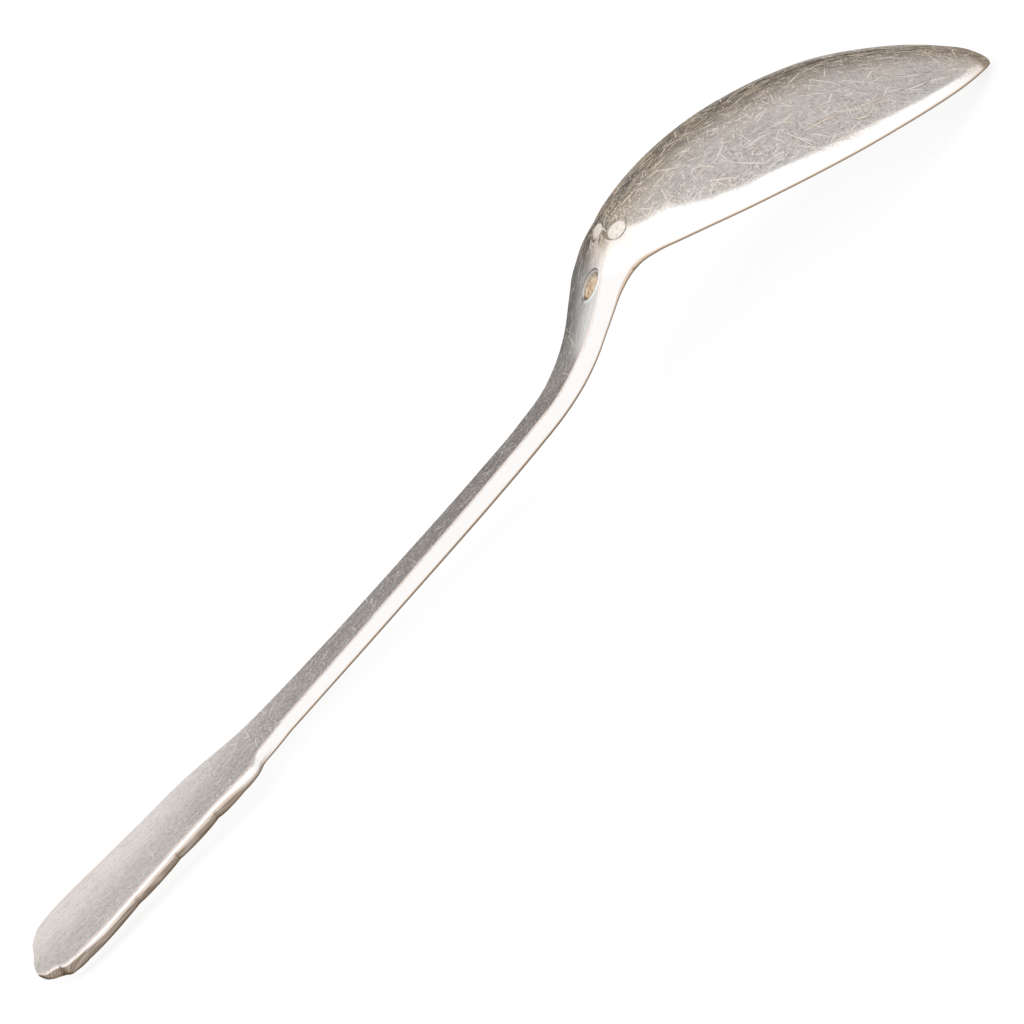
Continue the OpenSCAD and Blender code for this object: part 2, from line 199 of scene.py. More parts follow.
class SpoonSizes(PropertyGroup):
    """The spoon's own sizes, as in its construction."""

    bowl_length: length("Bowl length", "Length of the bowl from heel to tip", 48)
    bowl_width: length("Bowl width", "Greatest width of the bowl over its rim", 26.2)
    crown_height: length("Crown height", "Height of the top of the bowl's back", 20.1)
    rim_height: length("Rim height", "Height of the rim at the heel", 14.9)
    bowl_wall: length("Bowl wall", "Thickness of the bowl's wall", 0.9)
    rim_width: length("Rim width", "Width of the rim's flat edge", 0.9)
    tip_length: length("Tip length", "Solid point between the hollow and the tip", 1.6)
    nose_width: length("Nose width", "Width of the blunt nose at the tip", 0.7)
    nose_thickness: length("Nose thickness", "Thickness of the blunt nose at the tip", 0.9)
    heel_run: length("Heel run", "Length over which the hollow deepens at the heel", 11)
    neck_length: length("Neck length", "Length of the neck from stem to heel", 15)
    neck_width: length("Neck width", "Width of the neck under the bowl", 9.6)
    heel_height: length("Heel height", "Height of the back where neck and bowl meet", 18.2)
    heel_front_height: length("Heel front height", "Height of the front at the same place", 13.7)
    neck_start_height: length("Neck start height", "Height of the back at the stem's end", 8.4)
    neck_fade: length("Neck fade", "End of the neck in which its flat back turns round", 4.5)
    neck_crown: length("Neck crown", "How far the neck's back is crowned", 0.3)
    heel_fade: length("Heel fade", "Start of the bowl in which that turning ends", 2.4)
    stem_length: length("Stem length", "Length of the stem from terminal to neck", 50)
    stem_width: length("Stem width", "Width of the stem near the neck", 4.2)
    stem_thickness: length("Stem thickness", "Thickness of the stem at the neck", 2.45)
    front_crown: length("Front crown", "How far the stem's front is crowned", 0.25)
    front_round: length("Front round", "Rounding of the handle's front edges", 0.4)
    under_round: length("Under round", "How far the terminal's edge draws in below", 0.6)
    terminal_length: length("Terminal length", "Length of the handle's flat end", 37)
    terminal_width: length("Terminal width", "Greatest width of its flat back", 15.1)
    shoulder_width: length("Shoulder width", "Width where the terminal meets the stem", 7.2)
    shoulder_height: length("Shoulder height", "Height of the back at the same place", 3.8)
    end_height: length("End height", "Height of the flat back at the very end", 2.35)
    terminal_thickness: length("Terminal thickness", "Thickness of the terminal", 1.88)
    shoulder_thickness: length("Shoulder thickness", "Thickness at the shoulder", 2.05)
    edge_swell: length("Edge swell", "How far the terminal's edge swells out", 0.35)
    swell_fade: length("Swell fade", "Length in which that swell fades out", 4.4)
    lobe_height: length("Lobe height", "How far the largest lobe of the margin stands out", 1.25)
    shoulder_reach: length("Shoulder reach", "How far the near shoulder stands out further", 1.55)
    lobe_fade: length("Lobe fade", "Length in which that lobe fades out", 5)
    turn_length: length("Turn length", "Length of the keel under the end", 3.6)
    point_thickness: length("Point thickness", "Thickness left at the end of the point", 0.6)
    point_length: length("Point length", "Length of the end that is worn to a skew point", 5.2)
    border_width: length("Border width", "Raised border round the front's panel", 1.5)
    panel_depth: length("Panel depth", "Depth of the front's sunk panel", 0.3)
    panel_margin: length("Panel margin", "Length left unsunk next to the stem", 7.4)
    edge_round: length("Edge round", "Wear rounding of every crisp edge", 0.16)


class SpoonFinish(PropertyGroup):
    """The colours of the silver and the strength of its wear."""

    silver: colour("Silver", "Colour of the clean metal", (0.96, 0.945, 0.93))
    grey: colour("Grey", "Colour of the dulled metal", (0.93, 0.875, 0.84))
    dim: colour("Dim", "Colour of its duller clouds", (0.76, 0.73, 0.71))
    smoke: colour("Smoke", "Colour of the tarnish over the bowl's crown", (0.87, 0.76, 0.67))
    scratch: colour("Scratch", "Colour of a fresh scratch", (0.99, 0.93, 0.87))
    blush: colour("Blush", "Colour of the line along the handle's back edge", (0.80, 0.54, 0.46))
    gilt: colour("Gilt", "Colour of golden streaks and grains", (0.98, 0.76, 0.52))
    tan: colour("Tan", "Colour of the tarnish that stays in hollows", (0.66, 0.46, 0.30))
    umber: colour("Umber", "Colour of the tarnish on the handle's lobes", (0.66, 0.54, 0.46))
    # Brown is real tarnish and also painted shade: under the edges, in creases, round ovals and
    # scratches
    brown_and_shade: colour("Brown", "Colour of the dark tarnish under the edges", (0.20, 0.155, 0.115))
    wear: share("Wear", "How strongly the fine scratches show", 0.9)


class SpoonDetail(PropertyGroup):
    """How finely the spoon is drawn."""

    side_points: points("Side points", "Points up each side", 26, 4)
    back_points: points("Back points", "Points over the back", 112, 16)
    front_points: points("Front points", "Points over the front", 40, 12)
    bend_points: points("Bend points", "Points round each edge", 3, 1)


def mix(a, b, u):
    return a + (b - a) * u


def smooth_step(a, b, x):
    u = np.clip((x - a) / (b - a), 0, 1)
    return u * u * (3 - 2 * u)


def ramp(a, b, x):
    """0 to 1 as x goes from a to b, both in millimetres."""
    return smooth_step(a * MM, b * MM, x)


def bell(x, middle, width):
    """1 in the middle, and down to 0 on both sides."""
    return np.exp(-(((x - middle) / width) ** 2))


def laid(shares, start, end, low, high):
    """A table of shares laid out as lengths: along from start to end, and up from low to high."""
    return [(mix(start, end, a), mix(low, high, b)) for a, b in shares]


class Curve:
    """A smooth curve through a table of knots."""

    def __init__(self, knots):
        self.x = np.array([k[0] for k in knots], float)
        self.y = np.array([k[1] for k in knots], float)
        run = np.diff(self.x)
        rise = np.diff(self.y) / run
        self.slope = np.empty_like(self.x)
        self.slope[0] = rise[0]
        self.slope[-1] = rise[-1]
        self.slope[1:-1] = (rise[:-1] * run[1:] + rise[1:] * run[:-1]) / (run[:-1] + run[1:])

    def __call__(self, x):
        i = np.clip(np.searchsorted(self.x, x, side="right") - 1, 0, len(self.x) - 2)
        w = self.x[i + 1] - self.x[i]
        u = np.clip((x - self.x[i]) / w, 0, 1)
        v = 1 - u
        return (
            self.y[i] * v * v * (1 + 2 * u)
            + self.y[i + 1] * u * u * (3 - 2 * u)
            + w * u * v * (self.slope[i] * v - self.slope[i + 1] * u)
        )


class Oval:
    """A blank oval struck into the back: its centre, half sizes and turn on the table's plane.

    Its floor may be tilted: the tilt is how fast it rises along x and along y.
    """

    def __init__(self, x, y, half_long, half_wide, turn, depth, tilt=(0, 0)):
        self.centre = (x * MM, y * MM)
        self.half = (half_long * MM, half_wide * MM)
        self.turn = math.radians(turn)
        self.depth = depth * MM
        self.tilt = tilt

    def reach(self, x, y):
        """0 in the middle of the oval and 1 at its edge."""
        a = x - self.centre[0]
        b = y - self.centre[1]
        along = a * math.cos(self.turn) + b * math.sin(self.turn)
        across = b * math.cos(self.turn) - a * math.sin(self.turn)
        return np.hypot(along / self.half[0], across / self.half[1])


OVALS = (
    Oval(27.86, -0.42, 1.22, 1.0, 50, 0.24, (0.2, 0.18)),
    Oval(29.2, -3.58, 1.50, 1.0, -35, 0.20, (0.12, 0.18)),
    Oval(23.02, -2.22, 1.88, 1.02, 127, 0.45),
)


class Form:
    """The spoon as a closed section at any place x along it."""

    def __init__(self, sizes, detail):
        s = self.s = sizes
        self.detail = detail
        end = self.end = -(s.terminal_length + s.stem_length + s.neck_length + s.bowl_length) / 2
        shoulder = self.shoulder = end + s.terminal_length
        neck = self.neck = shoulder + s.stem_length
        heel = self.heel = neck + s.neck_length
        tip = self.tip = heel + s.bowl_length
        self.point = end + s.point_length
        self.turn = end + s.turn_length
        heights = (s.end_height, s.shoulder_height)
        self.back_curve = Curve(
            [(mix(end, shoulder, u), mix(*heights, u)) for u in FLAT_BACK_SHARES]
            + laid(STEM_RISE_SHARES, shoulder, neck, s.shoulder_height, s.neck_start_height)
            + [(neck, s.neck_start_height)]
            + laid(NECK_RISE_SHARES, neck, heel, s.neck_start_height, s.heel_height)
            + [(heel, s.heel_height)]
            + laid(BOWL_BACK_SHARES, heel, tip, 0, s.crown_height)
            + [(tip, s.nose_thickness)]
        )
        self.edge_curve = Curve(laid(EDGE_RISE_SHARES, end, self.turn, 0, s.end_height))
        self.keel_curve = Curve(laid(KEEL_SHARES, end, self.turn, 0, s.end_height))
        self.near_curve = Curve(laid(NEAR_END_SHARES, end, self.point, 0, s.terminal_width / 2))
        self.far_curve = Curve(laid(FAR_END_SHARES, end, self.point, 0, s.terminal_width / 2))
        self.shoulder_curve = Curve(laid(SHOULDER_SHARES, end, shoulder, 0, s.shoulder_reach))
        thicknesses = (s.shoulder_thickness, s.stem_thickness)
        self.thickness_curve = Curve(
            [(end, s.terminal_thickness), (mix(end, shoulder, EVEN_SHARE), s.terminal_thickness)]
            + [(shoulder, s.shoulder_thickness)]
            + laid(STEM_THICKNESS_SHARES, shoulder, neck, *thicknesses)
            + [(neck, s.stem_thickness)]
        )
        front_start = s.neck_start_height - s.stem_thickness
        leads = [mix(shoulder, neck, u) for u in FRONT_LEAD_SHARES]
        self.lead = leads[-1]
        self.front_curve = Curve(
            [(x, float(self.back(x) - self.thickness(x))) for x in leads]
            + [(neck, front_start)]
            + laid(NECK_FRONT_SHARES, neck, heel, front_start, s.heel_front_height)
            + [(heel, s.heel_front_height)]
            + laid(RIM_SHARES, heel, tip, 0, s.rim_height)
            + [(tip, 0)]
        )
        self.half_curve = Curve(
            laid(TERMINAL_WIDTH_SHARES, end, shoulder, 0, s.terminal_width / 2)
            + [(shoulder, s.shoulder_width / 2)]
            + laid(STEM_WIDTH_SHARES, shoulder, neck, s.stem_width / 2, s.shoulder_width / 2)
            + laid(NECK_WIDTH_SHARES, neck, heel, s.stem_width / 2, s.neck_width / 2)
            + [(heel, s.bowl_width * HEEL_WIDTH_SHARE / 2)]
            + laid(BOWL_WIDTH_SHARES, heel, tip, 0, s.bowl_width / 2)
            + [(tip, s.nose_width / 2)]
        )

    def nose(self, x):
        """1 along the spoon, and down to 0 in a round at its two ends."""
        from_end = np.clip((x - self.end) / (self.s.point_thickness / 2), 0, 1)
        from_tip = np.clip((self.tip - x) / (self.s.nose_thickness / 2), 0, 1)
        q = np.minimum(from_end, from_tip)
        return np.sqrt(np.clip(1 - (1 - q) ** 2, 0, 1))

    def bluntness(self, x):
        """How far the nearer end's round takes off above and below."""
        blunt = np.where(x < 0, self.s.point_thickness, self.s.nose_thickness) / 2
        return blunt * (1 - self.nose(x))

    def back(self, x):
        return self.back_curve(x) - self.bluntness(x)

    def thickness(self, x):
        return np.where(
            x < self.turn, self.back_curve(x) - self.edge_curve(x), self.thickness_curve(x)
        )

    def front(self, x):
        lift = 2 * self.bluntness(x)
        handle = self.back(x) - self.thickness(x) + lift
        return np.where(x < self.lead, handle, self.front_curve(x) + lift / 2)

    def half(self, x):
        """Half the width of the flat back."""
        skewed = (self.near_curve(x) - self.far_curve(x)) / 2
        half = np.where(x < self.point, skewed, self.half_curve(x) + self.shoulder_curve(x) / 2)
        return half * np.maximum(self.nose(x), 0.02)

    def middle(self, x):
        """How far the middle of the flat back lies to one side."""
        worn = -(self.near_curve(x) + self.far_curve(x)) / 2
        return np.where(x < self.point, worn, -self.shoulder_curve(x) / 2)

    def lobe(self, x):
        """How far the margin's lobes stand out: each lobe is half a wave."""
        u = (x - self.end) / self.s.terminal_length
        out = np.zeros_like(u)
        for a, b, size in zip(LOBE_END_SHARES, LOBE_END_SHARES[1:], LOBE_SIZE_SHARES):
            wave = np.sqrt(np.clip(np.sin(math.pi * np.clip((u - a) / (b - a), 0, 1)), 0, 1))
            out = out + size * wave
        return self.s.lobe_height * out * self.margin(x)

    def near_lobe(self, x):
        """The lobes on the near side, where the wider shoulder leaves less to stand out."""
        return np.maximum(self.lobe(x) - self.shoulder_curve(x), 0)

    def swell(self, x):
        fade = 1 - smooth_step(self.shoulder - self.s.swell_fade, self.shoulder, x)
        return self.s.edge_swell * fade * smooth_step(self.end, self.turn, x)

    def handle_outer(self, x, s):
        """The handle's side, back and other side, for s from 0 to 1."""
        v = np.clip(np.minimum(s, 1 - s) / SIDE_SHARE, 0, 1)
        half = self.half(x)
        lobe = np.where(s < 0.5, self.near_lobe(x), self.lobe(x))
        side = (
            half
            + self.swell(x) * np.sin(math.pi * v)
            + lobe * (1 - smooth_step(LOBE_FOOT_SHARE, 1, v))
            - np.minimum(self.drawn_in(x), half / 2) * (1 - v) ** 3
        )
        across = np.clip((2 * s - 1) / (1 - 2 * SIDE_SHARE), -1, 1)
        y = np.where(v < 1, np.sign(s - 0.5) * side, half * across)
        crown = self.neck_crown(x) * (1 - across * across)
        low = self.front(x) + self.s.front_round / 3 * smooth_step(self.end, self.turn, x)
        return self.middle(x) + y, mix(low, self.back(x) + crown, v)

    def neck_crown(self, x):
        """How far the middle of the neck's back stands over its edges."""
        return self.s.neck_crown * smooth_step(self.neck, mix(self.neck, self.heel, 0.6), x)

    def margin(self, x):
        """1 along the lobed margin, and down to 0 where it runs out into the stem."""
        return 1 - smooth_step(self.shoulder - self.s.lobe_fade, self.shoulder, x)

    def drawn_in(self, x):
        """How far the handle's front is drawn in under its back."""
        return mix(self.s.front_round, self.s.under_round, self.margin(x))

    def handle_inner(self, x, t):
        """The handle's front, for t from 0 to 1 across it."""
        u = 2 * t - 1
        near_lobe = self.near_lobe(x)
        h = self.half(x) + (self.lobe(x) + near_lobe) / 2 - self.drawn_in(x)
        h = np.maximum(h, self.half(x) / 2) * CROWN_SHARE
        crown = (
            self.s.front_crown
            * smooth_step(self.shoulder, self.shoulder + self.s.stem_width, x)
            * (1 - smooth_step(self.neck, self.heel, x))
        )
        keel = np.where(x < self.turn, self.edge_curve(x) - self.keel_curve(x), 0) * self.nose(x)
        middle = self.middle(x) + (self.lobe(x) - near_lobe) / 2
        return middle + h * u, self.front(x) - (crown + keel) * (1 - u * u)

    def arc(self, half, base, depth, t):
        depth = np.maximum(depth, self.s.bowl_wall * FLATTEST_ARC_SHARE)
        angle = 2 * np.arctan(depth / half)
        radius = half / np.sin(angle)
        b = angle * (2 * t - 1)
        return radius * np.sin(b), base + depth - radius + radius * np.cos(b)

    def bowl_outer(self, x, s):
        return self.arc(self.half(x), self.front(x), self.back(x) - self.front(x), s)

    def bowl_inner(self, x, t):
        s = self.s
        drawn = self.heel + (x - self.heel) * s.bowl_length / (s.bowl_length - s.tip_length)
        q = np.clip((x - self.heel - s.rim_width) / s.heel_run, 0, 1)
        deep = q * (2 - q)
        hollow = drawn < self.tip
        full = np.where(hollow, self.half(drawn) * (1 - 2 * s.rim_width / s.bowl_width), 0)
        half = np.maximum(self.half(x) * HOLLOW_LEAST_SHARE, full * np.sqrt(deep))
        depth = np.where(hollow, (self.back(drawn) - s.bowl_wall - self.front(x)) * deep, 0)
        return self.arc(half, self.front(x), depth, t)

    def bowl_share(self, x):
        return smooth_step(self.heel - self.s.neck_fade, self.heel + self.s.heel_fade, x)

    def outer(self, x, s):
        u = self.bowl_share(x)
        y0, z0 = self.handle_outer(x, s)
        y1, z1 = self.bowl_outer(x, s)
        return np.stack([mix(y0, y1, u), mix(z0, z1, u)], -1)

    def inner(self, x, t):
        u = self.bowl_share(x)
        y0, z0 = self.handle_inner(x, t)
        y1, z1 = self.bowl_inner(x, t)
        return np.stack([mix(y0, y1, u), mix(z0, z1, u)], -1)

    def ring(self, x):
        """The closed sections at places x, a column of numbers: one row of points for each."""
        d = self.detail
        rim_run = self.s.edge_round
        ds = np.clip(rim_run / (self.back(x) - self.front(x)), 0, 0.25) * SIDE_SHARE
        db = np.clip(rim_run / (2 * self.half(x)), 0, 0.1) * (1 - 2 * SIDE_SHARE)
        dt = np.clip(rim_run / (2 * self.half(x)), 0, 0.05)
        low, high = SIDE_SHARE, 1 - SIDE_SHARE
        rise = np.linspace(0, 1, d.side_points)
        over = np.linspace(0, 1, d.back_points)
        under = np.linspace(0, 1, d.front_points)

        def bend(before, corner, after):
            q = np.linspace(0, 1, d.bend_points + 2)[1:-1][None, :, None]
            return before * (1 - q) ** 2 + corner * 2 * q * (1 - q) + after * q * q

        def outer_bend(a, b, c):
            return bend(self.outer(x, a), self.outer(x, b), self.outer(x, c))

        def rim(s, t, near_s, near_t):
            """The edge between the outside and the inside, bent round at both corners."""
            outside, inside = self.outer(x, s), self.inner(x, t)
            gap = np.linalg.norm(inside - outside, axis=-1, keepdims=True)
            step = (inside - outside) * np.clip(rim_run / np.maximum(gap, 1e-9), 0, 0.35)
            return np.concatenate(
                [
                    bend(self.outer(x, near_s), outside, outside + step),
                    outside + step,
                    inside - step,
                    bend(inside - step, inside, self.inner(x, near_t)),
                ],
                1,
            )

        one, zero = x * 0 + 1, x * 0
        return np.concatenate(
            [
                self.outer(x, mix(ds, low - ds, rise)),
                outer_bend(low - ds, low * one, low + db),
                self.outer(x, mix(low + db, high - db, over)),
                outer_bend(high - db, high * one, high + ds),
                self.outer(x, mix(high + ds, 1 - ds, rise)),
                rim(one, one, 1 - ds, 1 - dt),
                self.inner(x, mix(1 - dt, dt, under)),
                rim(zero, zero, ds, dt)[:, ::-1],
            ],
            1,
        )

    def columns(self):
        """What each column of a ring is: its zone, and how far up the side it lies."""
        d = self.detail
        rise = np.linspace(0, 1, d.side_points)
        bend = np.ones(d.bend_points)
        edge = 2 * d.bend_points + 2
        parts = [
            ("side", rise), ("back edge", bend), ("back", np.ones(d.back_points)),
            ("back edge", bend), ("side", rise[::-1]), ("rim", np.zeros(edge)),
            ("inside", np.zeros(d.front_points)), ("rim", np.zeros(edge)),
        ]
        zones = np.array([zone for zone, height in parts for _ in height])
        return zones, np.concatenate([height for _, height in parts])

    def skin(self, places, place):
        """How far each point lies along the spoon, and around it from the middle of its back."""
        x = np.linspace(self.end, self.tip, 3000)
        run = np.concatenate([[0], np.cumsum(np.hypot(np.diff(x), np.diff(self.back(x))))])
        steps = np.linalg.norm(np.diff(place[..., 1:], axis=1), axis=-1)
        around = np.concatenate([np.zeros((len(place), 1)), np.cumsum(steps, 1)], 1)
        zones, _ = self.columns()
        crown = around[:, zones == "back"].mean(1, keepdims=True)
        along = np.broadcast_to(np.interp(places, x, run)[:, None], around.shape)
        return np.stack([along, around - crown, np.zeros_like(around)], -1).astype(np.float32)

    def points(self, x):
        """The points of the rings at places x, with the struck ovals and the sunk panel."""
        x = np.asarray(x, float)[:, None]
        yz = self.ring(x)
        zones, _ = self.columns()
        place = np.concatenate([np.broadcast_to(x[:, :, None], yz.shape[:2] + (1,)), yz], -1)
        place[..., 2] += self.struck(place) * np.isin(zones, ("back", "back edge", "side"))
        place[..., 2] += self.sunk(x, place) * (zones == "inside")
        return place

    def struck(self, place):
        """How far the blank ovals move the surface: a sunk floor inside a faint raised lip."""
        out = np.zeros(place.shape[:2])
        for oval in OVALS:
            reach = oval.reach(place[..., 0], place[..., 1])
            floor = 1 - smooth_step(*OVAL_WALL, reach)
            lip = OVAL_LIP_SHARE * bell(reach, 1.08, 0.1)
            rise = oval.tilt[0] * (place[..., 0] - oval.centre[0])
            rise = rise + oval.tilt[1] * (place[..., 1] - oval.centre[1])
            out += oval.depth * lip - (oval.depth - rise) * floor
        return out

    def sunk(self, x, place):
        """How far the front's panel is raised into the terminal, seen from below."""
        s = self.s

        def past(place_of_edge, value):
            return smooth_step(place_of_edge - PANEL_EDGE, place_of_edge + PANEL_EDGE, value)

        across = 1 - past(self.half(x) - s.front_round - s.border_width, np.abs(place[..., 1]))
        along = past(self.turn + s.border_width, x) * (1 - past(self.shoulder - s.panel_margin, x))
        return s.panel_depth * across * along

    def normals(self, x, place):
        """Outward normals from the form itself, so that neighbouring regions share theirs."""
        x = np.asarray(x, float)
        tiny = 0.002 * MM
        ahead = np.minimum(x + tiny, self.tip - tiny / 8)
        behind = np.maximum(x - tiny, self.end + tiny / 8)
        along = self.points(ahead) - self.points(behind)
        around = np.roll(place, -1, 1) - np.roll(place, 1, 1)
        out = np.cross(along, around)
        size = np.linalg.norm(out, axis=-1, keepdims=True)
        return out / np.maximum(size, 1e-20)


def stations(*stretches):
    """Places along the spoon: (start, end, spacing) for each stretch, without repeats."""
    out = []
    for start, end, spacing in stretches:
        steps = max(1, round((end - start) / spacing))
        out.extend(mix(start, end, i / steps) for i in range(steps))
    out.append(stretches[-1][1])
    return out


def rounded_stations(end, start, count):
    """Places that close up towards a rounded end."""
    return [end + (start - end) * (1 - math.cos(math.pi / 2 * i / count)) for i in range(count)]


def spoon_mesh(name, form, places):
    """A closed mesh through the rings at the places, with a flat face at each end."""
    places = np.array(places)
    place = form.points(places)
    scratch_shade, count = place.shape[:2]
    normal = form.normals(places, place)
    index = np.arange(scratch_shade * count).reshape(scratch_shade, count)
    after = np.roll(index, -1, 1)
    quads = np.stack([index[:-1], index[1:], after[1:], after[:-1]], -1).reshape(-1, 4)
    mesh = bpy.data.meshes.new(name)
    faces = quads.tolist()
    faces.append(index[0].tolist())
    faces.append(index[-1][::-1].tolist())
    mesh.from_pydata(place.reshape(-1, 3).tolist(), [], faces)
    mesh.update()
    ends = len(quads)
    corners = normal.reshape(-1, 3)[quads.reshape(-1)]
    first = np.tile(mesh.polygons[ends].normal, (count, 1))
    last = np.tile(mesh.polygons[ends + 1].normal, (count, 1))
    mesh.polygons.foreach_set("use_smooth", [True] * ends + [False, False])
    mesh.normals_split_custom_set(np.concatenate([corners, first, last]).tolist())
    mark_zones(mesh, form, places, place)
    return mesh


def creases(form, x):
    """1 at the crease in the worn end, and less at the creases between the margin's lobes."""
    u = (x - form.end) / form.s.terminal_length
    out = np.zeros_like(x)
    for where in LOBE_END_SHARES[1:-1]:
        out += LOBE_CREASE * bell(u, where, LOBE_CREASE_SHARE)
    return out + bell(x - form.end, END_CREASE_PLACE, END_CREASE_WIDTH)


def highlight_band(x):
    """The width of the lighter, unmarked band over the bowl's rim: a painted highlight where the
    bright reflection falls.
    """
    return (
        1.7 * MM
        + 1.1 * MM * ramp(56, 46, x)
        + 2 * MM * ramp(42, 32, x)
        - 1.2 * MM * ramp(65, 73, x)
    )


def mark_zones(mesh, form, places, place):
    """Names the worn edges, sides, hollows and struck floors for the finish, and the places of
    painted shade and of the painted highlight band.
    """
    zones, height = form.columns()
    x = places[:, None]
    skin = form.skin(places, place)
    beside = skin[..., 1]
    around = np.abs(beside)
    reach = np.min([oval.reach(place[..., 0], place[..., 1]) for oval in OVALS], axis=0)
    outside = np.isin(zones, ("back", "back edge", "side"))
    edges = np.isin(zones, ("side", "rim"))
    handle = 1 - form.bowl_share(x)
    bowl = 1 - handle
    margin = form.margin(x)
    above = around[:, :1] - around
    # Dull colours and scratches lie only beyond the band, which stays lighter as a painted
    # highlight
    over_band = ramp(-0.5, 0.5, above - highlight_band(x)) * bowl
    # Far side of the crown and the tip: partly tarnish, partly painted shade for the darker floor
    # these would mirror
    tip = ramp(66, 72, x) * ramp(-4, -1, beside) + ramp(72.6, 73.8, x)
    beyond = ramp(0.8, 2.6, beside) * ramp(12, 8, beside) * bowl
    marks = {
        "bowl": bowl,
        "over_band": over_band,
        "crown": ramp(9, 4, abs(beside - 3 * MM)) * bowl,
        "smoke": ramp(-9, -2, beside) * bowl,
        "tarnish": np.clip(beyond + tip, 0, 1),
        # Painted shade: brown darkening over one side of the neck's heel
        "heel": ramp(3.6, 1, abs(x - 27.3 * MM)) * ramp(-4.6, -2.6, beside) * outside,
        "handle": (1 - ramp(13, 20, x)) * outside,
        "terminal": ramp(-24, -60, x) * outside,
        "above_rim": above,
        "from_edge": around - around[:, zones == "back"][:, :1],
        "side": edges * handle * (1 - height * (zones == "side")),
        "inside": (zones == "inside") * np.ones_like(x),
        "worn": over_band + handle,
        "struck": outside * (1 - smooth_step(0.84, 1, reach)),
        "lip": outside * bell(reach, 1.02, 0.14),
        "margin": edges * margin,
        "crease": edges * creases(form, x) * margin,
    }
    attributes = mesh.attributes
    attributes.new("skin", "FLOAT_VECTOR", "POINT").data.foreach_set("vector", skin.reshape(-1))
    for name, value in marks.items():
        value = np.broadcast_to(value, place.shape[:2]).astype(np.float32)
        attributes.new(name, "FLOAT", "POINT").data.foreach_set("value", value.reshape(-1))


def sum_of(operation, reflected=False):
    """The Python operator for one of the shader's sums."""

    def combined(self, other):
        pair = (other, self) if reflected else (self, other)
        return self.maker.add("ShaderNodeMath", {"operation": operation}, *pair)

    return combined


class Shade:
    """A shader socket that takes part in Python sums."""

    __add__ = sum_of("ADD")
    __radd__ = sum_of("ADD", reflected=True)
    __sub__ = sum_of("SUBTRACT")
    __rsub__ = sum_of("SUBTRACT", reflected=True)
    __mul__ = sum_of("MULTIPLY")
    __rmul__ = sum_of("MULTIPLY", reflected=True)
    __truediv__ = sum_of("DIVIDE")
    larger = sum_of("MAXIMUM")

    def __init__(self, maker, socket):
        self.maker = maker
        self.socket = socket

    def __abs__(self):
        return self.maker.add("ShaderNodeMath", {"operation": "ABSOLUTE"}, self)

    def clamped(self):
        return self.maker.add("ShaderNodeClamp", {}, self)

    def also(self, out):
        """Another output of the same node."""
        return Shade(self.maker, self.socket.node.outputs[out])

    def split(self):
        """The x, y and z parts of a vector."""
        x = self.maker.add("ShaderNodeSeparateXYZ", {}, self)
        return x, x.also("Y"), x.also("Z")


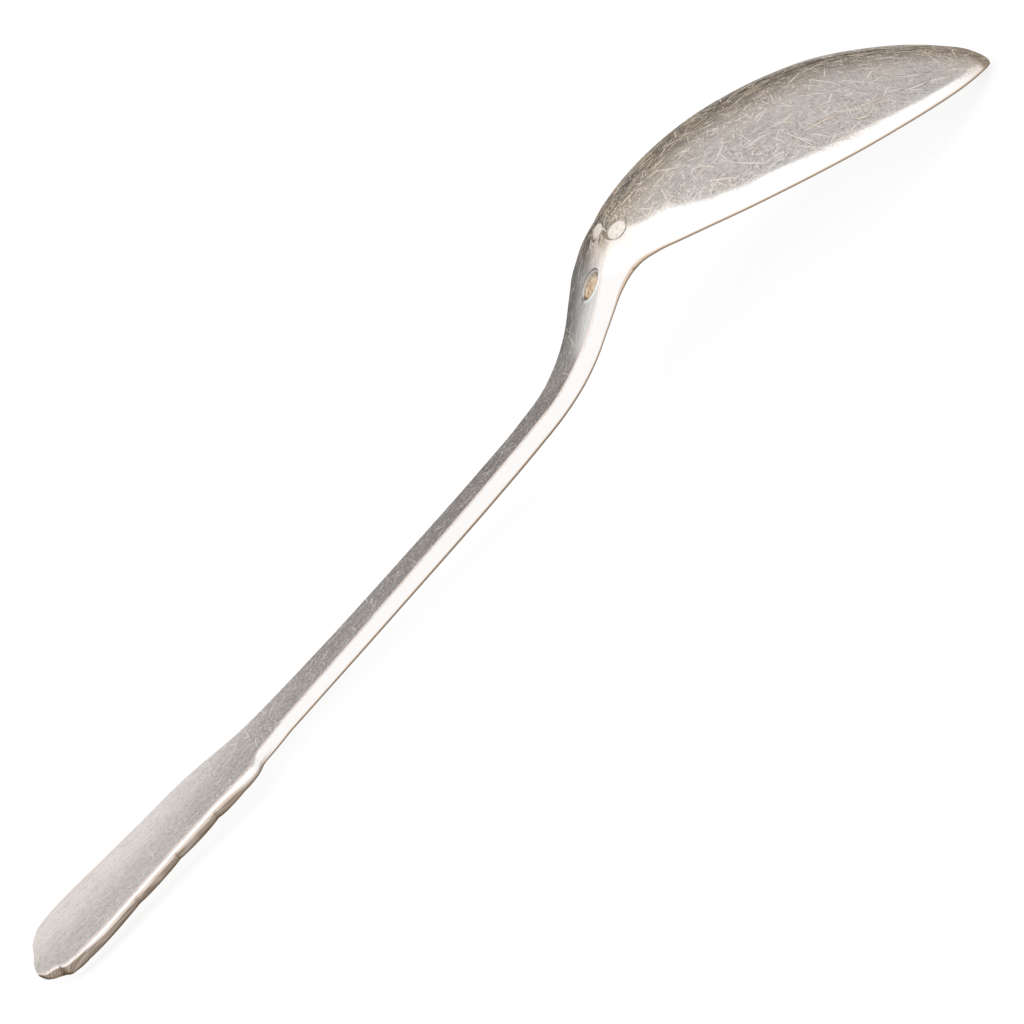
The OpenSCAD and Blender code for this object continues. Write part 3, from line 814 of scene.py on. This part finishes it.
class Maker:
    """Adds nodes to one node tree."""

    def __init__(self, tree):
        self.tree = tree
        tree.nodes.clear()

    def add(self, kind, settings, *values, out=0, **named):
        """One node: its settings first, then its sockets by place or by name."""
        node = self.tree.nodes.new(kind)
        for key, value in settings.items():
            setattr(node, key, value)
        sockets = [s for s in node.inputs if s.enabled]
        pairs = list(zip(sockets, values))
        pairs += [(node.inputs[key.replace("_", " ")], value) for key, value in named.items()]
        for socket, value in pairs:
            if isinstance(value, Shade):
                self.tree.links.new(value.socket, socket)
            elif value is not None:
                socket.default_value = value
        if not node.outputs:
            return None
        found = [s for s in node.outputs if s.enabled]
        return Shade(self, node.outputs[out] if isinstance(out, str) else found[out])

    def vector(self, operation, *values, out=0):
        return self.add("ShaderNodeVectorMath", {"operation": operation}, *values, out=out)

    def mark(self, name, out="Fac"):
        """A zone or a place that the mesh names."""
        return self.add("ShaderNodeAttribute", {"attribute_name": name}, out=out)

    def blend(self, factor, a, b):
        """A colour between two colours."""
        settings = {"data_type": "RGBA", "blend_type": "MIX", "clamp_factor": True}
        return self.add("ShaderNodeMix", settings, factor, opaque(a), opaque(b))

    def from_to(self, value, low, high, a=0.0, b=1.0):
        """A value carried smoothly from one range to another."""
        settings = {"interpolation_type": "SMOOTHSTEP"}
        return self.add("ShaderNodeMapRange", settings, value, low, high, a, b)

    def ramp(self, low, high, value):
        """0 to 1 as a length goes from low to high, both in millimetres."""
        return self.from_to(value, low * MM, high * MM)

    def coated(self, colour, *coats):
        """A colour under coats, each with its strength and its own colour."""
        for strength, coat in coats:
            colour = self.blend(strength, colour, coat)
        return colour

    def noise(self, place, size, detail=2.0, roughness=0.5, warp=0.0):
        """Soft noise whose features are about this size, in metres."""
        return self.add(
            "ShaderNodeTexNoise", {"noise_dimensions": "3D"}, place,
            Scale=1 / size, Detail=detail, Roughness=roughness, Distortion=warp,
        )

    def grain(self, skin, run, width, shift, detail=1.0):
        """Noise drawn out along the spoon, run by width in metres."""
        drawn = self.vector("MULTIPLY_ADD", skin, (1 / run, 1 / width, 0), (shift, shift, 0))
        settings = {"noise_dimensions": "2D"}
        return self.add("ShaderNodeTexNoise", settings, drawn, Scale=1.0, Detail=detail)

    def cut(self, along, across, bow=0.0):
        """The depth of a tapered, bowed scratch, with its ends and its sides at -1 and 1."""
        left = 1 - along * along
        return left - abs(across - bow * left)

    def single(self, place, scratch):
        """One scratch at a place of its own on the table's plane."""
        laid_out = self.add(
            "ShaderNodeMapping", {"vector_type": "TEXTURE"}, place,
            Location=(scratch.x, scratch.y, 0), Rotation=(0, 0, scratch.turn),
            Scale=(scratch.half_long, scratch.half_wide, 1),
        )
        along, across, _ = laid_out.split()
        return self.cut(along, across, scratch.bow / scratch.half_wide)

    def cells(self, place, size, out, randomness=1.0):
        """Cells of about this size, in metres, each round a spot of its own."""
        settings = {"voronoi_dimensions": "2D", "feature": "F1"}
        scale = 1 / size
        return self.add(
            "ShaderNodeTexVoronoi", settings, place, Scale=scale, Randomness=randomness, out=out
        )

    def scattered(self, skin, cell, half_long, half_wide, aim, spread, bow, stretch, shift):
        """Scratches all over, one to a cell, each with a length, turn and bow of its own."""
        drawn = self.vector("MULTIPLY_ADD", skin, (1 / stretch, 1, 0), (shift, shift, 0))
        spot = self.cells(drawn, cell * MM, "Position", randomness=0.9)
        turn, bend, size = spot.also("Color").split()
        turned = self.add(
            "ShaderNodeVectorRotate", {"rotation_type": "Z_AXIS"},
            self.vector("SUBTRACT", drawn, spot),
            Angle=(turn - 0.5) * math.radians(spread) + math.radians(aim),
        )
        along, across, _ = turned.split()
        reach = (size * 0.7 + 0.3) * (half_long * MM)
        depth = self.cut(along / reach, across / (half_wide * MM), (bend - 0.5) * (2 * bow))
        return (depth * 2.5).clamped() * (size * 0.6 + 0.4)

    def dots(self, skin, cell, radius, shift):
        """Small round dents, one in some of the cells."""
        moved = self.vector("ADD", skin, (shift, shift, 0))
        far = self.cells(moved, cell, "Distance")
        chance, _, _ = far.also("Color").split()
        reach = radius / cell
        return self.from_to(far, reach, reach / 2) * self.from_to(chance, 0.55, 0.6)


def opaque(value):
    """A colour with its alpha, or a socket as it is."""
    return value if isinstance(value, Shade) else (*value, 1.0)


def surface(name):
    """A new material and the maker of its nodes."""
    material = bpy.data.materials.new(name)
    material.use_nodes = True
    return material, Maker(material.node_tree)


def finished(make, shader):
    """Ends a material in its surface output."""
    make.add("ShaderNodeOutputMaterial", {}, Surface=shader)


class Scratch:
    """One clear scratch on the bowl's back, as laid out on the table's plane."""

    def __init__(self, x, y, turn, half_long, bow, half_wide=0.075):
        self.x = x * MM
        self.y = y * MM
        self.turn = math.radians(turn)
        self.half_long = half_long * MM
        self.half_wide = half_wide * MM
        self.bow = bow * MM


SCRATCHES = (
    Scratch(50.4, -10.3, -60, 2.3, -0.07, 0.10),
    Scratch(53.3, -10.1, 5, 2.9, 0.14),
    Scratch(63.1, -8.0, -56, 1.7, -0.94),
    Scratch(65.0, -6.3, 2, 2.4, -0.51),
    Scratch(65.0, -7.7, 21, 1.9, -0.15),
    Scratch(55.8, -8.2, -1, 1.5, -0.11),
    Scratch(57.1, -7.1, -62, 0.8, 0.15),
    Scratch(58.3, -8.8, -47, 0.8, 0.20),
    Scratch(46.5, -8.2, -86, 1.6, -0.14),
    Scratch(69.8, -4.8, -14, 1.3, 0.13),
    Scratch(57.6, -10.4, 5, 1.0, -0.04),
    Scratch(45.9, -10.2, -31, 1.2, 0.15),
)


def clear_scratches(make, place):
    """The clear scratches together, as the depth inside the nearest one."""
    return reduce(Shade.larger, [make.single(place, scratch) for scratch in SCRATCHES])


def strewn(make, skin, rows):
    """Several sizes of scattered scratches together."""
    return reduce(Shade.__add__, [make.scattered(skin, *row) for row in rows])


def tiny_scratches(make, skin, bowl, crown):
    """The fine scratches: every way on the bowl, and along the spoon on its crown and handle."""
    patches = make.from_to(make.noise(skin, 0.0035), 0.40, 0.58)
    curls = make.noise(skin, 0.0016, detail=3.0, warp=1.2)
    hairs = sum(make.from_to(abs(curls - level), 0.014, 0.004) for level in (0.5, 0.58))
    fine = strewn(make, skin, FINE_SCRATCHES) + hairs * 0.3
    dots = make.dots(skin, 0.0016, 0.00013, shift=0.19)
    middling = strewn(make, skin, MIDDLING_SCRATCHES) + dots
    every_way = (fine * (0.2 + 0.8 * patches) + middling) * (0.45 + 0.55 * bowl)
    lengthwise = strewn(make, skin, LENGTHWISE_SCRATCHES) * (0.25 + 0.75 * crown)
    return every_way.clamped(), lengthwise.clamped()


class Wear:
    """The marks, noises and scratches that the layers of worn silver share."""

    def __init__(self, make, finish):
        self.make = make
        self.finish = finish
        self.place = make.add("ShaderNodeTexCoord", {}, out="Object")
        self.x, self.y, _ = self.place.split()
        skin = make.mark("skin", "Vector")
        for name in ("bowl", "side", "margin", "struck", "crown", "over_band", "worn", "tarnish"):
            setattr(self, name, make.mark(name))
        self.outside = 1 - make.mark("inside")
        self.onside = make.from_to(self.side, 0.0, 0.05)
        self.back = 1 - self.onside
        self.terminal = make.mark("terminal") * self.back
        self.handle = make.mark("handle") * self.back

        self.cloud = make.noise(self.place, 0.007, detail=3.0, roughness=0.55)
        self.mottle = make.noise(self.place, 0.00028, roughness=0.7, warp=0.6)
        self.drawn = make.grain(skin, 0.0035, 0.00020, 0.3, detail=2.0)
        self.every_way, self.lengthwise = tiny_scratches(make, skin, self.bowl, self.crown)
        self.deepest = clear_scratches(make, self.place)
        clear = (self.deepest * 3).clamped() * self.outside * self.worn
        tiny = self.every_way * finish.wear + self.lengthwise * 0.5
        self.scratched = ((tiny * (0.1 + 0.9 * self.worn) + clear) * self.back).clamped()
        self.light_spots = make.from_to(self.mottle, 0.52, 0.66)
        self.streaks = make.from_to(self.drawn, 0.52, 0.66) * self.crown
        line = make.ramp(0.22, 0.10, abs(make.mark("from_edge") - 0.06 * MM)) * (1 - self.bowl)
        self.line = line * (0.3 + 0.7 * self.margin)

    def back_colour(self):
        """Silver under its clouds, tarnish and scratches, with painted shade round the clear
        scratches, on the neck's heel and over the bowl's far side and tip.
        """
        make, finish = self.make, self.finish
        dulled = (self.over_band + self.handle).clamped()
        cloudy = make.from_to(self.cloud, 0.35, 0.65) * self.over_band
        patch = make.noise(self.place, 0.0014, detail=3.0, roughness=0.6)
        patchy = make.from_to(patch, 0.50, 0.66) * self.over_band
        lines = make.from_to(self.drawn, 0.52, 0.38) * self.worn * self.back
        dark_spots = make.from_to(self.mottle, 0.48, 0.36)
        spotted = (0.34 * self.over_band + 0.30 * self.handle).clamped()
        # Painted shade: a dark ring round each clear scratch
        scratch_shade = (self.deepest + 1).clamped() * self.outside * self.worn
        golden = make.from_to(self.cloud, 0.56, 0.42)
        streaked = (0.7 * self.streaks + 0.6 * self.lengthwise * self.crown).clamped()
        return make.coated(
            finish.silver,
            (dulled, finish.grey),
            (0.45 * cloudy, finish.dim),
            (0.20 * patchy, finish.tan),
            (0.9 * make.mark("smoke"), finish.smoke),
            (0.16 * lines, finish.brown_and_shade),
            (dark_spots * spotted, finish.brown_and_shade),
            # Painted shade: over the bowl's far side and tip (partly tarnish) and over the neck's
            # heel
            (0.85 * self.tarnish, finish.brown_and_shade),
            (0.42 * make.mark("heel") * self.back, finish.brown_and_shade),
            (0.5 * scratch_shade, finish.brown_and_shade),
            (self.scratched * 0.9, make.blend(0.45 * golden, finish.scratch, finish.gilt)),
            (streaked, finish.gilt),
            ((0.9 * self.onside + make.mark("inside")).clamped(), finish.silver),
        )

    def edged(self, colour):
        """A colour with umber tarnish along the handle's lobes, painted shade under their edges
        and in their creases, and tan and brown darkening along the bowl's rim.
        """
        make, finish, x, side = self.make, self.finish, self.x, self.side
        at_end = make.ramp(-66, -71, x)
        start = 0.14 + 0.38 * make.ramp(-47, -41, x) - 0.10 * at_end
        uneven = 0.7 + 0.3 * make.from_to(self.drawn, 0.60, 0.40)
        faded = 0.9 - 0.35 * make.ramp(-48, -42, x)
        greyed = make.from_to(side - start, 0.0, 0.10) * self.margin * uneven
        # Painted shade: darker towards the underside of the lobed edge
        underside_shade = make.from_to(side + 0.12 * at_end - start, 0.15, 0.30) * self.margin
        # Painted shade in the creases between the lobes and at the worn end
        crease_shade = make.mark("crease") * make.from_to(side, 0.12, 0.3)
        low = make.mark("above_rim") * (1 - 0.55 * make.ramp(6, 1, abs(x - 27 * MM)))
        return make.coated(
            colour,
            (greyed, finish.umber),
            (underside_shade * faded * uneven, finish.brown_and_shade),
            (0.9 * crease_shade, finish.brown_and_shade),
            (self.line, finish.blush),
            (0.75 * make.ramp(0.26, 0.10, low) * self.outside, finish.tan),
            (0.85 * make.ramp(0.09, 0, low) * self.outside, finish.brown_and_shade),
        )

    def struck_over(self, colour):
        """A colour with the ovals: pale on the bowl, and golden and grainy on the neck, with
        painted shade on their walls and round their lips.
        """
        make, finish, struck = self.make, self.finish, self.struck
        grain = make.noise(self.place, 0.0005, detail=3.0, roughness=0.7)
        grainy = make.blend(make.from_to(grain, 0.42, 0.58), finish.tan, finish.gilt)
        # Painted shade: on the ovals' walls, and across the top of the neck's oval
        oval_top_shade = struck * make.ramp(24.2, 24.9, self.x) * (1 - self.bowl)
        oval_wall_shade = struck * (1 - struck) * 3 + oval_top_shade
        specks = struck * self.bowl * make.from_to(self.mottle, 0.52, 0.62)
        return make.coated(
            colour,
            # Painted shade round each oval's lip
            (0.4 * make.mark("lip"), finish.brown_and_shade),
            (struck * 0.95, make.blend(self.bowl, grainy, finish.scratch)),
            ((oval_wall_shade * 0.8).clamped(), finish.brown_and_shade),
            (0.5 * specks, finish.tan),
        )

    def far(self):
        return self.make.ramp(-4, 7, self.y)

    def metallic(self):
        """Bare metal, less so where it is scratched, hazy, or under the far tarnish and painted
        shade.
        """
        haze = (
            self.terminal * (0.08 + 0.70 * self.far())
            + self.handle * (0.08 + 0.22 * self.make.ramp(8, -45, self.x))
            + 0.25 * self.light_spots * (self.over_band + self.handle)
            + 0.4 * self.streaks
            + 0.45 * self.struck
            + 0.7 * self.line
        )
        return 1 - (0.85 * self.scratched + 0.3 * self.tarnish + haze).clamped()

    def roughness(self):
        return (
            0.14
            - 0.08 * self.bowl
            + self.terminal * (0.34 + 0.1 * self.far())
            + 0.04 * self.light_spots
            + 0.2 * self.struck
            + 0.4 * self.tarnish
        )

    def relief(self):
        cuts = self.every_way * 0.5 + self.deepest.clamped() * 1.2 + self.drawn * 0.05
        swells = self.mottle * (0.08 + 1.2 * self.struck) + self.cloud * 0.6
        return swells - self.lengthwise * 0.2 - cuts * self.worn


def silver(name, finish):
    """Silver worn by use: scratched on its bowl, satin on its handle, tarnished in its hollows,
    with painted shade in its creases and recesses and a painted highlight band over the rim.
    """
    material = bpy.data.materials.get(name)
    if material:
        return material
    material, make = surface(name)
    wear = Wear(make, finish)
    colour = wear.struck_over(wear.edged(wear.back_colour()))
    bump = make.add(
        "ShaderNodeBump", {}, Strength=0.5, Distance=RELIEF_HEIGHT, Height=wear.relief()
    )
    metal = make.add(
        "ShaderNodeBsdfPrincipled", {}, Base_Color=colour, Metallic=wear.metallic(),
        Roughness=wear.roughness(), Normal=bump, Specular_Tint=GRAZING_TINT,
    )
    finished(make, metal)
    return material


def bowl_silver(finish):
    return silver("bowl silver", finish)


def handle_silver(finish):
    return silver("handle silver", finish)


def seen_light(make):
    """1 for rays that show the background: straight from the camera or mirrored by the metal."""
    seen = make.add("ShaderNodeLightPath", {}, out="Is Camera Ray")
    return (seen + seen.also("Is Glossy Ray") + seen.also("Is Transmission Ray")).clamped()


def white_table():
    """The pale table: matt, and white behind the spoon."""
    material, make = surface("white table")
    matt = make.add("ShaderNodeBsdfDiffuse", {}, opaque([TABLE_COLOUR] * 3), 0.0)
    glow = make.add("ShaderNodeEmission", {}, opaque([1.0] * 3), seen_light(make) * TABLE_GLOW)
    finished(make, make.add("ShaderNodeAddShader", {}, matt, glow))
    return material


def facing(make, way, elevation, azimuth):
    """The cosine between a direction and the one at this elevation and azimuth."""
    e, a = math.radians(elevation), math.radians(azimuth)
    axis = (math.cos(e) * math.cos(a), math.cos(e) * math.sin(a), math.sin(e))
    return make.vector("DOT_PRODUCT", way, axis, out="Value")


def studio_world():
    """A white room with dim panels overhead and behind, dimmest low behind the spoon."""
    world = bpy.data.worlds.new("studio")
    world.use_nodes = True
    make = Maker(world.node_tree)
    way = make.add("ShaderNodeTexCoord", {}, out="Generated")
    panels = 0.0
    for elevation, azimuth, radius, soft in PANELS:
        outer, inner = (math.cos(math.radians(radius + end * soft)) for end in (1, -1))
        panels = panels + make.from_to(facing(make, way, elevation, azimuth), outer, inner)
    dim = make.from_to(facing(make, way, *DIM_CENTRE), 1.0, 0.5, DIM_LIGHT, DIM_LIGHT + DIM_RISE)
    room = WHITE_LIGHT - panels.clamped() * (WHITE_LIGHT - dim)
    behind = make.add("ShaderNodeLightPath", {}, out="Is Camera Ray")
    light = room + behind * (1 - room)
    sky = make.add("ShaderNodeBackground", {}, opaque([1.0] * 3), light)
    make.add("ShaderNodeOutputWorld", {}, Surface=sky)
    bpy.context.scene.world = world


def photo_camera():
    a, e, p = (math.radians(v) for v in (VIEW_AZIMUTH, VIEW_ELEVATION, VIEW_ROLL))
    ahead = Vector((-math.sin(a) * math.cos(e), math.cos(a) * math.cos(e), -math.sin(e)))
    level = Vector((math.cos(a), math.sin(a), 0))
    upright = level.cross(ahead)
    right = level * math.cos(p) - upright * math.sin(p)
    up = level * math.sin(p) + upright * math.cos(p)
    camera = bpy.data.objects.new("camera", bpy.data.cameras.new("camera"))
    camera.data.lens = VIEW_LENS
    camera.data.clip_start = 0.01
    camera.data.clip_end = 30
    camera.matrix_world = turned_to(right, up, -ahead, VIEW_AIM - ahead * VIEW_DISTANCE)
    bpy.context.scene.collection.objects.link(camera)
    bpy.context.scene.camera = camera


def turned_to(right, up, back, where):
    """A matrix with these axes at this place."""
    rows = [(right[i], up[i], back[i], where[i]) for i in range(3)]
    return Matrix((*rows, (0, 0, 0, 1)))


def add_piece(name, node, places, finish):
    """One region of the spoon, in the place of its solid."""
    scene = bpy.context.scene
    form = Form(scene.spoon_sizes, scene.spoon_detail)
    piece = bpy.data.objects.new(name, spoon_mesh(name, form, places(form)))
    scene.collection.objects.link(piece)
    piece.data.materials.append(finish(scene.spoon_finish))
    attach(piece, "root")
    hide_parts(node)


class SPOON_OT_terminal(Operator):
    """The flat end of the handle, with its lobed margin and its worn, skew end"""

    bl_idname = "spoon.terminal"
    bl_label = "Terminal"

    def execute(self, context):
        def places(form):
            nose = form.end + form.s.point_thickness / 2
            return rounded_stations(form.end, nose, 8) + stations(
                (nose, form.turn, 0.05 * MM),
                (form.turn, form.shoulder, 0.25 * MM),
            )

        add_piece("spoon_terminal", "terminal", places, handle_silver)
        return {"FINISHED"}


class SPOON_OT_stem(Operator):
    """The slim stem between the terminal and the neck"""

    bl_idname = "spoon.stem"
    bl_label = "Stem"

    def execute(self, context):
        def places(form):
            return stations((form.shoulder, form.neck, 0.6 * MM))

        add_piece("spoon_stem", "stem", places, handle_silver)
        return {"FINISHED"}


class SPOON_OT_neck(Operator):
    """The cranked neck, with one blank oval struck into its back"""

    bl_idname = "spoon.neck"
    bl_label = "Neck"

    def execute(self, context):
        def places(form):
            return stations((form.neck, form.heel, 0.14 * MM))

        add_piece("spoon_neck", "neck", places, handle_silver)
        return {"FINISHED"}


class SPOON_OT_bowl(Operator):
    """The pointed bowl, with two blank ovals struck into its heel"""

    bl_idname = "spoon.bowl"
    bl_label = "Bowl"

    def execute(self, context):
        def places(form):
            marked = form.heel + 2 * form.s.heel_fade
            nose = form.tip - form.s.nose_thickness / 2
            tapered = form.tip - 3 * form.s.tip_length
            ahead = stations(
                (form.heel, marked, 0.08 * MM),
                (marked, tapered, 0.5 * MM),
                (tapered, nose, 0.2 * MM),
            )
            return ahead + rounded_stations(form.tip, nose, 8)[::-1]

        add_piece("spoon_bowl", "bowl", places, bowl_silver)
        return {"FINISHED"}


class SPOON_OT_stage(Operator):
    """The pale table, the soft studio light and the camera at the photograph's angle"""

    bl_idname = "spoon.stage"
    bl_label = "Stage"

    def execute(self, context):
        bpy.ops.mesh.primitive_plane_add(size=TABLE_SIZE, location=(0, 0, -TABLE_DROP))
        table = context.object
        table.name = "table"
        table.data.materials.append(white_table())
        studio_world()
        photo_camera()
        context.scene.view_settings.view_transform = "Standard"
        return {"FINISHED"}


class SPOON_PT_pieces(Panel):
    """The spoon's pieces and its sizes"""

    bl_idname = "SPOON_PT_pieces"
    bl_label = "Grapefruit spoon"
    bl_space_type = "VIEW_3D"
    bl_region_type = "UI"
    bl_category = "Spoon"

    def draw(self, context):
        for piece in PIECES:
            self.layout.operator(piece.bl_idname)
        scene = context.scene
        for group in (scene.spoon_sizes, scene.spoon_finish, scene.spoon_detail):
            box = self.layout.box()
            for name in group.__annotations__:
                box.prop(group, name)


PIECES = (SPOON_OT_stage, SPOON_OT_terminal, SPOON_OT_stem, SPOON_OT_neck, SPOON_OT_bowl)
CLASSES = (SpoonSizes, SpoonFinish, SpoonDetail, *PIECES, SPOON_PT_pieces)


def register():
    for each in CLASSES:
        bpy.utils.register_class(each)
    bpy.types.Scene.spoon_sizes = PointerProperty(type=SpoonSizes)
    bpy.types.Scene.spoon_finish = PointerProperty(type=SpoonFinish)
    bpy.types.Scene.spoon_detail = PointerProperty(type=SpoonDetail)


def unregister():
    del bpy.types.Scene.spoon_detail
    del bpy.types.Scene.spoon_finish
    del bpy.types.Scene.spoon_sizes
    for each in reversed(CLASSES):
        bpy.utils.unregister_class(each)


def main():
    register()
    bpy.ops.spoon.stage()
    bpy.ops.spoon.terminal()
    bpy.ops.spoon.stem()
    bpy.ops.spoon.neck()
    bpy.ops.spoon.bowl()


if __name__ == "__main__":
    main()
